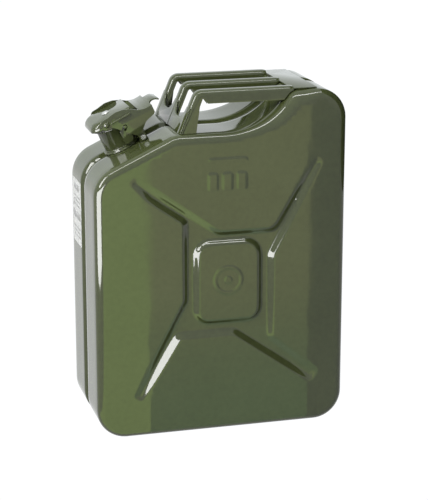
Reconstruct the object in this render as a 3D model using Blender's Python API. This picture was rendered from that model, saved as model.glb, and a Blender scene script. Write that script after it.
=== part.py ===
"""Twenty-litre pressed-steel fuel can with a triple handle and a cam-lever cap.

Frame: metres, +Z up, origin under the middle of the base. The spout end is -X,
the air chamber and rear of the handles are +X, the broad faces are -Y and +Y.
Lengths below are in millimetres and go through MM when a mesh is made.
"""
import math

import bmesh
import bpy
from mathutils import Matrix, Vector

MM = 0.001

# ---------------------------------------------------------------- driving sizes
LENGTH, DEPTH, HEIGHT = 345.0, 165.0, 470.0
SHEET = 1.0                 # wall of the two body pressings
FIT = 0.3                   # clearance kept between neighbouring pieces
ARC = 6                     # segments in a quarter circle

EDGE_R = 10.0               # rounding between a broad face and the side wall
SEAM_SIDE = 11.0            # half width of the channel that the weld seam sits in
SEAM_DEPTH = 7.5            # how far that channel goes in
SEAM_RIM = 2.5              # the weld rim stops this far short of the side wall
RIM_HALF = 1.3              # half thickness of the welded rim

TOP_FLAT = HEIGHT - 4.0     # top of the air chamber, under the handle plate
PAN_Z = 413.5               # flat under the handles
SCOOP_C, SCOOP_R = (6.0, 518.0), 104.5
CREST_C, CREST_R = (107.6, 446.0), 20.0
SCOOP_END = 35.32           # degrees below level where the scoop meets the crest

RECESS_DEPTH = 6.0          # pressed cross on both broad faces
RECESS_DRAFT = 5.0          # how far its walls run out over that depth
WALL_SPREAD = 1.25          # sheet thickness measured across a drafted wall

TILT = 25.5                 # slope of the filler end, degrees
NECK_BASE = (-118.0, 0.0, 387.3)
NECK_R, NECK_WALL, NECK_TOP = 22.0, 1.4, 34.0
SKIRT_R = 23.8              # reinforcing ring where it passes through the sheet

# closure, in the neck's own frame: t up the slope, y across, n along the neck
HINGE = (28.0, 5.5)
PIVOT = (-9.0, 44.5)
CAM = (12.0, 30.5)
LEVER_RATIO = 1.75          # degrees of lever for a degree of cap
SIDE_IN, SIDE_OUT = 29.0, 30.8      # yoke side plates
CHEEK_IN, CHEEK_OUT = 32.4, 34.3    # lever cheeks
TAIL_HALF = 16.0            # thumb tab at the end of the lever
PIN_R = 2.4

HANDLE_SHEET = 1.6
HANDLE_HALF = 71.0          # half width over the three bars
BAR_Y = (-62.5, 0.0, 62.5)
BAR_HALF = 8.5
BAR_UNDER = 452.5

OLIVE = (0.115, 0.14, 0.06, 1.0)


# ---------------------------------------------------------------- scene and finishes
def clear_scene():
    for obj in list(bpy.data.objects):
        bpy.data.objects.remove(obj, do_unlink=True)


def finish_material(name, colour, roughness, metallic=0.0):
    mat = bpy.data.materials.new(name)
    mat.use_nodes = True
    shader = mat.node_tree.nodes["Principled BSDF"]
    shader.inputs["Base Color"].default_value = colour
    shader.inputs["Roughness"].default_value = roughness
    shader.inputs["Metallic"].default_value = metallic
    mat.diffuse_color = colour
    return mat


# ---------------------------------------------------------------- outlines
def arc(centre, radius, start, end, steps=ARC):
    """Points on an arc, both ends included; angles in degrees."""
    points = []
    for i in range(steps + 1):
        a = math.radians(start + (end - start) * i / steps)
        points.append((centre[0] + radius * math.cos(a), centre[1] + radius * math.sin(a)))
    return points


def can_outline(inset):
    """Side view of the can, anticlockwise, moved inwards by inset."""
    slope = 90.0 + TILT
    half = LENGTH / 2
    return (arc((-half + 40, 40), 40 - inset, 180, 270)
            + arc((half - 40, 40), 40 - inset, 270, 360)
            + arc((half - 40, TOP_FLAT - 40), 40 - inset, 0, 90)
            + arc(CREST_C, CREST_R - inset, 90, 180 - SCOOP_END, 4)
            + arc(SCOOP_C, SCOOP_R + inset, -SCOOP_END, -90, 8)
            + arc((-56.3, PAN_Z - 30), 30 - inset, 90, slope, 3)
            + arc((-half + 42, 335), 42 - inset, slope, 180, 5))


def section(offset):
    """(inset, distance from the seam plane) from the broad face to the weld rim."""
    rows = []
    radius = EDGE_R - offset
    for i in range(5):
        a = math.radians(90.0 * i / 4)
        rows.append((offset + radius * (1 - math.sin(a)), DEPTH / 2 - offset - radius * (1 - math.cos(a))))
    rows.append((offset, SEAM_SIDE + offset * 0.4))
    rows.append((SEAM_DEPTH + offset, SEAM_SIDE / 2 + offset * 0.4))
    return rows


# ---------------------------------------------------------------- mesh helpers
def link(name, bm, material=None, parent=None, location=(0, 0, 0)):
    bmesh.ops.recalc_face_normals(bm, faces=bm.faces[:])
    mesh = bpy.data.meshes.new(name)
    bm.to_mesh(mesh)
    bm.free()
    obj = bpy.data.objects.new(name, mesh)
    bpy.context.scene.collection.objects.link(obj)
    obj.parent = parent
    obj.location = Vector(location) * MM
    if material:
        mesh.materials.append(material)
    return obj


def loft(name, rings, **where):
    """Closed skin over rings of equal length, with both ends capped."""
    bm = bmesh.new()
    rows = [[bm.verts.new(Vector(p) * MM) for p in ring] for ring in rings]
    for low, high in zip(rows, rows[1:]):
        for i in range(len(low)):
            j = (i + 1) % len(low)
            bm.faces.new((low[i], low[j], high[j], high[i]))
    bm.faces.new(rows[0])
    bm.faces.new(rows[-1])
    return link(name, bm, **where)


def prism(name, outline, low, high, axis="Y", **where):
    """A flat outline pushed from low to high along an axis."""
    place = {"Y": lambda u, v, w: (u, w, v), "Z": lambda u, v, w: (u, v, w)}[axis]
    rings = [[place(u, v, w) for u, v in outline] for w in (low, high)]
    return loft(name, rings, **where)


def turned(name, profile, steps=36, axis="Z", **where):
    """Profile of (radius, height) turned about an axis; open at the axis if it starts off it."""
    bm = bmesh.new()
    columns = []
    for i in range(steps):
        a = 2 * math.pi * i / steps
        columns.append([(r * math.cos(a), r * math.sin(a), h) for r, h in profile])
    axial = [bm.verts.new(Vector((0, 0, h)) * MM) if r == 0 else None for r, h in profile]
    rows = [[axial[k] or bm.verts.new(Vector(p) * MM) for k, p in enumerate(column)] for column in columns]
    count = len(profile)
    closed = axial[0] is None
    for i in range(steps):
        here, after = rows[i], rows[(i + 1) % steps]
        for k in range(count if closed else count - 1):
            quad = [here[k], here[(k + 1) % count], after[(k + 1) % count], after[k]]
            corners = list(dict.fromkeys(quad))
            if len(corners) > 2:
                bm.faces.new(corners)
    if axis == "Y":
        bmesh.ops.rotate(bm, verts=bm.verts[:], matrix=Matrix.Rotation(math.radians(-90), 3, "X"))
    return link(name, bm, **where)


def combine(target, tools, operation="DIFFERENCE"):
    """Exact boolean of target with each tool; the tools are used up."""
    for tool in tools:
        step = target.modifiers.new("step", "BOOLEAN")
        step.operation = operation
        step.solver = "EXACT"
        step.object = tool
        bpy.context.view_layer.update()
        result = bpy.data.meshes.new_from_object(
            target.evaluated_get(bpy.context.evaluated_depsgraph_get()))
        target.modifiers.clear()
        target.data = result
        bpy.data.objects.remove(tool, do_unlink=True)
    return target


def tube(name, path, outer, inner, steps=14, **where):
    """Round pipe along a path in the XZ plane, with a through bore."""
    bm = bmesh.new()
    loops = []
    for index, (x, z) in enumerate(path):
        before = Vector(path[max(index - 1, 0)])
        after = Vector(path[min(index + 1, len(path) - 1)])
        along = (after - before).normalized()
        side = Vector((-along.y, 0, along.x))
        pair = []
        for radius in (outer, inner):
            ring = []
            for i in range(steps):
                a = 2 * math.pi * i / steps
                p = Vector((x, 0, z)) + side * (radius * math.cos(a)) + Vector((0, radius * math.sin(a), 0))
                ring.append(bm.verts.new(p * MM))
            pair.append(ring)
        loops.append(pair)
    for low, high in zip(loops, loops[1:]):
        for wall in (0, 1):
            for i in range(steps):
                j = (i + 1) % steps
                bm.faces.new((low[wall][i], low[wall][j], high[wall][j], high[wall][i]))
    for pair in (loops[0], loops[-1]):
        for i in range(steps):
            j = (i + 1) % steps
            bm.faces.new((pair[0][i], pair[0][j], pair[1][j], pair[1][i]))
    return link(name, bm, **where)


def mirrored(profile):
    """Turned profile pointing the other way along its axis."""
    return [(r, -h) for r, h in reversed(profile)]


def rotate2d(point, centre, degrees):
    a = math.radians(degrees)
    dx, dy = point[0] - centre[0], point[1] - centre[1]
    return (centre[0] + dx * math.cos(a) - dy * math.sin(a),
            centre[1] + dx * math.sin(a) + dy * math.cos(a))


# ---------------------------------------------------------------- body pressings
# corners of the pressed cross on the broad face, clockwise from the upper left tip
CROSS = [(-118.5, 362.7), (-3.0, 282.0), (71.5, 282.0), (128.5, 376.5), (139.6, 369.5), (72.2, 243.0),
         (72.3, 128.0), (138.5, 74.0), (126.0, 56.5), (16.3, 135.0), (-58.6, 135.0), (-111.5, 49.5),
         (-124.5, 57.5), (-54.5, 187.5), (-54.5, 294.8), (-102.3, 328.1), (-125.5, 353.0)]
PANEL_CENTRE, PANEL_HALF, PANEL_R = (8.5, 210.5), (41.5, 53.0), 15.0


def inset_polygon(corners, distance):
    """Clockwise polygon with every side moved inwards by distance."""
    lines = []
    for (px, pz), (qx, qz) in zip(corners, corners[1:] + corners[:1]):
        size = math.hypot(qx - px, qz - pz)
        nx, nz = (qz - pz) / size, (px - qx) / size
        lines.append((nx, nz, nx * px + nz * pz + distance))
    points = []
    for (a, b, c), (d, e, f) in zip(lines[-1:] + lines[:-1], lines):
        cross = a * e - b * d
        points.append(((c * e - b * f) / cross, (a * f - c * d) / cross))
    return points


def panel_outline(grow):
    """Raised centre panel of the cross, moved outwards by grow."""
    half_w, half_h, r = PANEL_HALF[0] + grow, PANEL_HALF[1] + grow, PANEL_R + grow
    cx, cz = PANEL_CENTRE
    return (arc((cx + half_w - r, cz + half_h - r), r, 0, 90, 3)
            + arc((cx - half_w + r, cz + half_h - r), r, 90, 180, 3)
            + arc((cx - half_w + r, cz - half_h + r), r, 180, 270, 3)
            + arc((cx + half_w - r, cz - half_h + r), r, 270, 360, 3))


def drafted(name, outline_at, side, levels):
    """Tapered solid through a broad face; levels are depths below the face."""
    rings = []
    for depth in levels:
        y = side * (DEPTH / 2 - depth)
        rings.append([(x, y, z) for x, z in outline_at(depth)])
    return loft(name, rings)


def cross_tool(side, thick):
    """Room of the pressed cross, a sheet thickness larger for the inner surface."""
    slope = RECESS_DRAFT / RECESS_DEPTH
    spread = thick * WALL_SPREAD
    above, floor = -2.0, RECESS_DEPTH + thick

    def cross_at(depth):
        return inset_polygon(CROSS, slope * depth - spread)

    def panel_at(depth):
        return panel_outline(slope * depth - spread)

    tool = drafted("cross_tool", cross_at, side, (above, floor))
    island = drafted("island_tool", panel_at, side, (above - 3.0, floor + 3.0))
    return combine(tool, [island])


def rings_of(rows, side):
    """Can outlines for (inset, distance from the seam plane) rows."""
    return [[(x, side * away, z) for x, z in can_outline(inset)] for inset, away in rows]


def pressing(name, side, material):
    """One body half; side is -1 for the front (broad face at -Y), +1 for the rear."""
    outer = section(0.0) + [(SEAM_DEPTH, RIM_HALF), (SEAM_RIM, RIM_HALF), (SEAM_RIM, FIT / 2)]
    inner = section(SHEET) + [(SEAM_DEPTH + SHEET, RIM_HALF + SHEET), (SEAM_DEPTH + SHEET, -5.0)]
    body = loft(name, rings_of(outer, side), material=material)
    combine(body, [cross_tool(side, 0.0)])
    inside = loft("inside_tool", rings_of(inner, side))
    combine(inside, [cross_tool(side, SHEET)])
    combine(body, [inside])
    reach = SKIRT_R + FIT
    hole = turned("hole_tool", [(0, -30), (reach, -30), (reach, 20), (0, 20)])
    hole.matrix_world = neck_matrix()
    combine(body, [hole])
    return body


def neck_matrix():
    return (Matrix.Translation(Vector(NECK_BASE) * MM)
            @ Matrix.Rotation(math.radians(-TILT), 4, "Y"))


# ---------------------------------------------------------------- handles
HANDLE_FOOT, HANDLE_LEAN = (-56.2, 413.8), 67.7     # lower end of the front plate and its angle
HANDLE_BEND_R = 14.0
SLOT_LOW, SLOT_REAR = 436.0, 109.0                  # finger slots reach down and back to here


def handle_top_line(offset):
    """Upper surface of the handle stamping from foot to rear end, moved inwards."""
    lean = math.radians(HANDLE_LEAN)
    bend = (-23.6, HEIGHT - HANDLE_BEND_R)
    start = (HANDLE_FOOT[0] + math.sin(lean) * offset, HANDLE_FOOT[1] - math.cos(lean) * offset)
    line = [start] + arc(bend, HANDLE_BEND_R - offset, 90 + HANDLE_LEAN, 90, 6)
    line += [(96.0, HEIGHT - offset), (108.0, HEIGHT - 2.0 - offset), (133.0, HEIGHT - 2.0 - offset)]
    return line


def handle_stamping(material):
    """Front plate, three hollow bars and rear plate in one piece."""
    clear = 0.5
    scoop = arc(SCOOP_C, SCOOP_R - clear, -40.0, -SCOOP_END, 2)
    crest = arc(CREST_C, CREST_R + clear, 180 - SCOOP_END, 90, 4)
    under = [(133.0, TOP_FLAT + clear - 0.1)] + list(reversed(crest)) + list(reversed(scoop))
    under += [(80.0, BAR_UNDER), (-22.5, BAR_UNDER), (-26.0, 449.0), (-34.0, PAN_Z + clear)]
    outline = handle_top_line(0.0) + under
    body = prism("handle_stamping", outline, -HANDLE_HALF, HANDLE_HALF, material=material)

    slot = [(-70.0, SLOT_LOW), (SLOT_REAR, SLOT_LOW), (SLOT_REAR, 490.0), (-70.0, 490.0)]
    tools = []
    for low, high in zip(BAR_Y, BAR_Y[1:]):
        tools.append(prism("slot_tool", slot, low + BAR_HALF, high - BAR_HALF))

    # hollow out the bars, then the space behind the front plate
    inner = handle_top_line(HANDLE_SHEET)
    foot, knee = inner[0], inner[1]
    run = (knee[0] - foot[0]) / (knee[1] - foot[1])
    below = (foot[0] - 9.0 * run, foot[1] - 9.0)
    channel = [(96.0, below[1]), below] + inner[1:-3] + [(96.0, HEIGHT - HANDLE_SHEET)]
    wide = BAR_HALF - HANDLE_SHEET
    for centre in BAR_Y:
        tools.append(prism("channel_tool", channel, centre - wide, centre + wide))
    top = SLOT_LOW - HANDLE_SHEET
    behind = [below, (foot[0] + (top - foot[1]) * run, top), (20.0, top), (20.0, below[1])]
    wide = HANDLE_HALF - HANDLE_SHEET
    tools.append(prism("behind_tool", behind, -wide, wide))
    return combine(body, tools)


# ---------------------------------------------------------------- neck and fixed fittings
def neck_parts(frame, steel, olive):
    r, w, top = NECK_R, NECK_WALL, NECK_TOP
    turned("filler_neck", [(r, -9), (r, top - 3), (r + 1.6, top - 2.6), (r + 1.6, top - 0.6), (r + 1.0, top),
                           (r - w, top), (r - w, -9)], material=olive, parent=frame)
    i = r + FIT
    turned("neck_base_ring", [(i, -9), (SKIRT_R, -9), (SKIRT_R, FIT), (25.2, FIT), (25.2, 2.4),
                              (24.2, 3.0), (24.2, 4.6), (23.4, 5.2), (i, 5.2)], material=olive, parent=frame)

    ht, hn = HINGE
    saddle = ([(ht - 6, FIT)] + [(ht + 6, FIT)] + arc((ht, hn), 5.0, 0, 180, 8))
    bracket = prism("hinge_bracket", saddle, -SIDE_IN + 0.7, SIDE_IN - 0.7, material=olive, parent=frame)
    tools = [turned("ring_tool", [(0, -4), (25.2 + FIT, -4), (25.2 + FIT, 2.7), (24.6, 3.4), (24.6, 5.6),
                                  (r + 0.4, 5.6), (r + 0.4, 30), (0, 30)], steps=36, parent=frame),
             turned("bore_tool", [(0, -40), (PIN_R + FIT, -40), (PIN_R + FIT, 40), (0, 40)], steps=16,
                    axis="Y", parent=frame, location=(ht, 0, hn))]
    combine(bracket, tools)
    pin = PIN_R
    under, over = SIDE_OUT + FIT, SIDE_OUT + FIT + 0.9
    head = 3.4
    spindle = [(0, -over), (head, -over), (head, -under), (pin, -under), (pin, under), (head, under),
               (head, over), (0, over)]
    turned("hinge_pin", spindle, 16, "Y", material=steel, parent=frame, location=(ht, 0, hn))

    for word, side in (("front", -1), ("rear", 1)):
        ct, cn = CAM
        block = ([(ct - 9, 7), (ct + 2, 7), (ct + 4.5, 12), (ct + 4.5, cn - 3)]
                 + arc((ct, cn), 3.5, 0, 180, 8) + [(ct - 9, cn - 5)])
        low, high = sorted((side * 12.0, side * (SIDE_IN - 0.6)))
        lug = prism("neck_lug_" + word, block, low, high, material=olive, parent=frame)
        bore = turned("bore_tool", [(0, -8), (2.2 + FIT, -8), (2.2 + FIT, 8), (0, 8)], steps=16, axis="Y",
                      parent=frame, location=(ct, side * (CHEEK_IN - 0.6), cn))
        around_neck = [(0, -20), (r + FIT, -20), (r + FIT, top - 3.8), (r + 2, top - 3.4), (r + 2, 60),
                       (0, 60)]
        waist = turned("neck_tool", around_neck, parent=frame)
        combine(lug, [waist, bore])
        stud = [(0, -5.2), (2.2, -5.2), (2.2, 5.6), (1.6, 6.2), (0, 6.2)]
        if side < 0:
            stud = mirrored(stud)
        turned("cam_stud_" + word, stud, 16, "Y", material=steel, parent=frame,
               location=(ct, side * (CHEEK_IN - 2.6), cn))


def breather_tube(steel):
    """Vent pipe from the neck, under the handle pan, up into the air chamber."""
    a = math.radians(TILT)
    t, n = (math.cos(a), math.sin(a)), (-math.sin(a), math.cos(a))

    def at(along, up):
        return (NECK_BASE[0] + along * t[0] + up * n[0], NECK_BASE[2] + along * t[1] + up * n[1])

    path = [at(14.5, 27), at(14.5, 0), at(14.5, -10)]
    path += [(-88.0, 374.5), (-76.0, 373.5)] + arc((20.0, 420.0), 40.0, -90, -50, 4) + [(112.0, 442.0)]
    return tube("breather_tube", path, 4.0, 3.0, material=steel)


# ---------------------------------------------------------------- closure
def cap_parts(hinge, steel, olive, rubber):
    """Yoke, cap, gasket and rivet, all about the cap hinge."""
    ht, hn = HINGE
    back = (-ht, 0, -hn)
    corner, front, rear = 12.0, -30.4, 29.6

    def plate(shrink):
        s, half = shrink, SIDE_OUT - shrink
        c = corner - 0.6 * s
        return [(front + s, -half + c), (front + s + c, -half), (rear - s, -half), (rear - s, half),
                (front + s + c, half), (front + s, half - c)]

    yoke = prism("cap_yoke", plate(0.0), 40.0, 50.4, axis="Z", material=olive, parent=hinge, location=back)
    inside = plate(SIDE_OUT - SIDE_IN)
    combine(yoke, [prism("hollow_tool", inside, 30.0, 48.6, axis="Z", parent=hinge, location=back)])
    pt, pn = PIVOT
    side_plate = (arc((ht, hn), 4.9, -150, 10, 8)
                  + [(33.0, 26.0), (32.4, 41.0), (31.0, 46.0), (28.0, 50.0), (-12.0, 50.0), (-15.0, 44.0)]
                  + arc((pt, pn), 6.6, 200, 290, 4) + [(0.0, 38.0), (15.0, 37.0), (18.4, 33.0)])
    for side in (-1, 1):
        low, high = sorted((side * (SIDE_IN + 0.02), side * (SIDE_OUT - 0.02)))
        combine(yoke, [prism("side_tool", side_plate, low, high, parent=hinge, location=back)], "UNION")
    bore = [(0, -40), (PIN_R + FIT, -40), (PIN_R + FIT, 40), (0, 40)]
    rivet_hole = [(0, 30), (3.4, 30), (3.4, 70), (0, 70)]
    combine(yoke, [turned("bore_tool", bore, 16, "Y", parent=hinge),
                   turned("bore_tool", bore, 16, "Y", parent=hinge, location=(pt - ht, 0, pn - hn)),
                   turned("bore_tool", rivet_hole, 16, parent=hinge, location=back)])

    dome = [(28.6, 35.6), (28.6, 38.8), (28.0, 39.4), (26.4, 39.4), (25.4, 46.4), (22.5, 48.2), (3.3, 48.2),
            (3.3, 46.8), (21.0, 46.8), (23.6, 45.4), (24.2, 38.1), (27.4, 38.1), (27.4, 35.6)]
    turned("cap_dome", dome, material=olive, parent=hinge, location=back)
    turned("cap_gasket", [(17.0, 34.4), (27.0, 34.4), (27.0, 37.8), (17.0, 37.8)],
           material=rubber, parent=hinge, location=back)
    rivet = [(0, 53.0), (3.6, 52.4), (5.4, 50.7), (3.0, 50.7), (3.0, 46.5), (6.0, 46.5), (5.4, 44.6),
             (0, 44.2)]
    turned("cap_rivet", rivet, steps=20, material=steel, parent=hinge, location=back)
    for word, side in (("front", -1), ("rear", 1)):
        head = CHEEK_OUT + FIT
        profile = [(0, SIDE_IN - 0.8), (PIN_R, SIDE_IN - 0.8), (PIN_R, head), (4.2, head), (4.2, head + 1.0),
                   (2.8, head + 2.2), (0, head + 2.6)]
        if side < 0:
            profile = mirrored(profile)
        turned("lever_rivet_" + word, profile, steps=20, axis="Y", material=steel, parent=hinge,
               location=(pt - ht, 0, pn - hn))


def cam_path(steps=10):
    """Where the cam stud goes in the lever's frame as the cap and lever open."""
    points = []
    for i in range(steps + 1):
        turn = 20.0 * i / steps
        seen_by_cap = rotate2d(CAM, HINGE, turn)
        points.append(rotate2d(seen_by_cap, PIVOT, -LEVER_RATIO * turn))
    return points


def lever_part(pivot, olive):
    """Locking lever: two cheeks joined by a tail plate, with a cam slot in each cheek."""
    pt, pn = PIVOT
    back = (-pt, 0, -pn)
    sheet = CHEEK_OUT - CHEEK_IN
    top = [(-4.0, 52.0), (8.0, 54.0), (19.0, 52.4), (29.0, 48.0), (37.0, 42.4), (46.0, 39.6), (54.0, 39.8),
           (60.5, 41.6), (66.0, 41.2), (71.5, 37.6)]
    under = [(70.6, 36.2), (65.6, 39.3), (61.0, 39.8), (57.8, 38.6), (57.4, 30.0), (54.0, 27.4),
             (40.0, 23.6), (33.0, 17.0), (26.5, 12.6), (21.0, 12.4), (14.0, 19.0), (3.0, 31.0), (-3.0, 37.0)]
    outline = top + under + arc((pt, pn), 7.5, 280, 110, 6)
    lever = prism("lever", outline, -CHEEK_OUT, CHEEK_OUT, material=olive, parent=pivot, location=back)
    hollow = [(-30.0, 70.0), (38.0, 70.0), (38.0, 40.0), (46.0, 39.6 - sheet), (54.0, 39.8 - sheet),
              (57.6, 38.5), (57.6, 0.0), (-30.0, 0.0)]
    bore = [(0, -40), (PIN_R + FIT, -40), (PIN_R + FIT, 40), (0, 40)]
    combine(lever, [prism("hollow_tool", hollow, -CHEEK_IN, CHEEK_IN, parent=pivot, location=back),
                    turned("bore_tool", bore, 16, "Y", parent=pivot)])
    for side in (-1, 1):
        low, high = sorted((side * TAIL_HALF, side * (CHEEK_OUT + 4)))
        beside_tail = [(58.0, 20.0), (90.0, 20.0), (90.0, 60.0), (58.0, 60.0)]
        combine(lever, [prism("tail_tool", beside_tail, low, high, parent=pivot, location=back)])
    # the slot is the room that the stud sweeps, as one outline: out along one side and back along the other
    path = cam_path()
    wide = 2.2 + 0.9
    left, right = [], []
    for k, (x, z) in enumerate(path):
        ahead, behind = path[min(k + 1, len(path) - 1)], path[max(k - 1, 0)]
        dx, dz = ahead[0] - behind[0], ahead[1] - behind[1]
        size = math.hypot(dx, dz)
        left.append((x - dz / size * wide, z + dx / size * wide))
        right.append((x + dz / size * wide, z - dx / size * wide))
    first = math.degrees(math.atan2(path[1][1] - path[0][1], path[1][0] - path[0][0]))
    closed_end = arc(path[0], wide, first + 270, first + 90, 6)[1:-1]
    outline = right[::-1] + closed_end + left
    for side in (-1, 1):
        low, high = sorted((side * (CHEEK_IN - 4), side * (CHEEK_OUT + 4)))
        combine(lever, [prism("slot_tool", outline, low, high, parent=pivot, location=back)])
    return lever


def label_sticker(paper):
    """Rectangular paper label on the narrow spout-end wall, rear half."""
    x = -LENGTH / 2 - 0.1
    outline = [(x - 0.25, 245.0), (x, 245.0), (x, 335.0), (x - 0.25, 335.0)]
    return prism("label_sticker", outline, 13.0, 68.0, material=paper)


def empty(name, location, parent=None, tilt=0.0):
    obj = bpy.data.objects.new(name, None)
    bpy.context.scene.collection.objects.link(obj)
    obj.parent = parent
    obj.location = Vector(location) * MM
    obj.rotation_euler = (0, math.radians(tilt), 0)
    return obj


def main():
    clear_scene()
    olive = finish_material("olive_paint", OLIVE, 0.32)
    zinc = finish_material("bright_steel", (0.55, 0.56, 0.55, 1.0), 0.3, 1.0)
    rubber = finish_material("black_rubber", (0.02, 0.02, 0.02, 1.0), 0.75)
    paper = finish_material("label_paper", (0.85, 0.85, 0.85, 1.0), 0.55)

    pressing("front_half_shell", -1, olive)
    pressing("rear_half_shell", 1, olive)
    handle_stamping(olive)
    breather_tube(zinc)
    label_sticker(paper)

    neck = empty("neck_frame", NECK_BASE, tilt=-TILT)
    bpy.context.view_layer.update()
    neck_parts(neck, zinc, olive)
    hinge = empty("cap_hinge_frame", (HINGE[0], 0, HINGE[1]), parent=neck)
    cap_parts(hinge, zinc, olive, rubber)
    pivot = empty("lever_pivot_frame", (PIVOT[0] - HINGE[0], 0, PIVOT[1] - HINGE[1]), parent=hinge)
    lever_part(pivot, olive)


main()
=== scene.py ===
import math

import bmesh
import bpy
from mathutils import Matrix, Vector
from mathutils.geometry import delaunay_2d_cdt


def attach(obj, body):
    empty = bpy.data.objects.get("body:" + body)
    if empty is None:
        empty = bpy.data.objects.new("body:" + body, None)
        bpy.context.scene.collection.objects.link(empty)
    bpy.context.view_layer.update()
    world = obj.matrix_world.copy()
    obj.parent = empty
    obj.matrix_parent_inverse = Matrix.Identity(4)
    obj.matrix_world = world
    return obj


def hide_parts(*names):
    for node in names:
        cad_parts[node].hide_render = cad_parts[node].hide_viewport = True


# Looks of a twenty-litre pressed-steel fuel can. Lengths below are in millimetres unless a name says
# otherwise; meshes are made in metres, in the CAD frame: +Z up, spout end -X, photographed face -Y.

MM = 0.001
LENGTH, DEPTH, HEIGHT = 345.0, 165.0, 470.0
TILT = 25.5                          # slope of the filler end, degrees
TOP_FLAT, PAN_Z = 466.0, 413.5
SCOOP_C, SCOOP_R, SCOOP_END = (6.0, 518.0), 104.5, 35.32   # end: degrees below level, at the crest
CREST_C, CREST_R = (107.6, 446.0), 20.0

SHEET = 1.0
EDGE_R = 10.0                        # rounding between a broad face and the side wall
CREST_EXTRA = 9.0                    # added to that rounding at the crest behind the handles
FACE_Y = DEPTH / 2 - 0.8             # broad face; the raised marks use the rest of the depth
RECESS_DEPTH, WALL_RUN = 6.0, 8.0    # pressed cross: how deep, and how far its walls run out
PANEL_RUN = 5.5
PANEL_MIDDLE, TIP_RISE = 8.0, 0.75   # the cross rises by this share towards the tips of its arms
MARK_HEIGHT = 0.5

NECK_BASE = (-118.0, 0.0, 387.3)
NECK_R, NECK_WALL, NECK_TOP = 22.0, 1.4, 34.0
SKIRT_R = 23.8
HINGE, PIVOT, CAM = (28.0, 5.5), (-9.0, 44.5), (12.0, 30.5)
LEVER_RATIO = 1.75
SIDE_IN, SIDE_OUT = 29.0, 30.8
CHEEK_IN, CHEEK_OUT = 32.4, 34.3
TAIL_HALF = 16.0
PIN_R = 2.4

HANDLE_HALF = 71.0                   # half width over the three bars
FIT_GAP = 0.3                        # clearance kept between neighbouring pieces
BAR_Y, BAR_HALF, BAR_UNDER = (-62.5, 0.0, 62.5), 8.5, 452.5

# camera of the photograph
CAM_AZIMUTH, CAM_PITCH, CAM_LENS = -15.22, 15.76, 128.73
CAM_PLACE = (-0.61394, -2.29409, 0.90342)

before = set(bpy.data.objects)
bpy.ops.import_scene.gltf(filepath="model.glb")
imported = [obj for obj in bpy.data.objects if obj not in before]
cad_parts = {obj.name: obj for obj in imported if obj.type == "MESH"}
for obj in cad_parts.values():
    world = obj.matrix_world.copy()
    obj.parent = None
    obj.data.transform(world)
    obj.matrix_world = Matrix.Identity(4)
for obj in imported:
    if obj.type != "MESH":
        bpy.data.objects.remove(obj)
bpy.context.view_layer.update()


# ---------------------------------------------------------------- outlines
def arc(centre, radius, start, end, steps):
    """Points on an arc, both ends included; angles in degrees."""
    points = []
    for i in range(steps + 1):
        a = math.radians(start + (end - start) * i / steps)
        points.append((centre[0] + radius * math.cos(a), centre[1] + radius * math.sin(a)))
    return points


def rounded(corners, steps=8, closed=True):
    """Polygon of (x, z, radius) corners with each corner turned on its radius."""
    points = []
    for i, (x, z, radius) in enumerate(corners):
        here = Vector((x, z))
        if not closed and i in (0, len(corners) - 1) or radius == 0:
            points.append((x, z))
            continue
        back = (Vector(corners[i - 1][:2]) - here)
        ahead = (Vector(corners[(i + 1) % len(corners)][:2]) - here)
        half = back.angle(ahead) / 2
        reach = min(radius / math.tan(half), 0.49 * back.length, 0.49 * ahead.length)
        radius = reach * math.tan(half)
        middle = here + (back.normalized() + ahead.normalized()).normalized() * radius / math.sin(half)
        first = here + back.normalized() * reach - middle
        last = here + ahead.normalized() * reach - middle
        turn = first.angle_signed(last)
        for k in range(steps + 1):
            spoke = first.copy()
            spoke.rotate(Matrix.Rotation(-turn * k / steps, 2))
            points.append(tuple(middle + spoke))
    return points


def can_outline(inset, steps=16, pitch=6.0):
    """Side view of the can, anticlockwise, moved inwards by inset; equal counts at any inset."""
    slope = 90.0 + TILT
    half = LENGTH / 2

    def parts(i):
        return [arc((-half + 40, 40), 40 - i, 180, 270, steps),
                arc((half - 40, 40), 40 - i, 270, 360, steps),
                arc((half - 40, TOP_FLAT - 40), 40 - i, 0, 90, steps),
                arc(CREST_C, CREST_R - i, 90, 180 - SCOOP_END, 8),
                arc(SCOOP_C, SCOOP_R + i, -SCOOP_END, -90, 20),
                arc((-56.3, PAN_Z - 30), 30 - i, 90, slope, 6),
                arc((-half + 42, 335), 42 - i, slope, 180, 12)]

    arcs, plain = parts(inset), parts(0.0)
    points = []
    for k, piece in enumerate(arcs):
        after = arcs[(k + 1) % len(arcs)]
        count = max(1, round(math.dist(plain[k][-1], plain[(k + 1) % len(arcs)][0]) / pitch))
        points += piece
        for i in range(1, count):
            points.append(tuple(Vector(piece[-1]).lerp(Vector(after[0]), i / count)))
    return points


def rotate2d(point, centre, degrees):
    a = math.radians(degrees)
    dx, dy = point[0] - centre[0], point[1] - centre[1]
    return (centre[0] + dx * math.cos(a) - dy * math.sin(a),
            centre[1] + dx * math.sin(a) + dy * math.cos(a))


# ---------------------------------------------------------------- mesh helpers
def link(name, bm, material=None, smooth=True):
    bmesh.ops.recalc_face_normals(bm, faces=bm.faces[:])
    mesh = bpy.data.meshes.new(name)
    bm.to_mesh(mesh)
    bm.free()
    obj = bpy.data.objects.new(name, mesh)
    bpy.context.scene.collection.objects.link(obj)
    if material:
        mesh.materials.append(material)
    if smooth:
        mesh.shade_smooth()
    return obj


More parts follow.
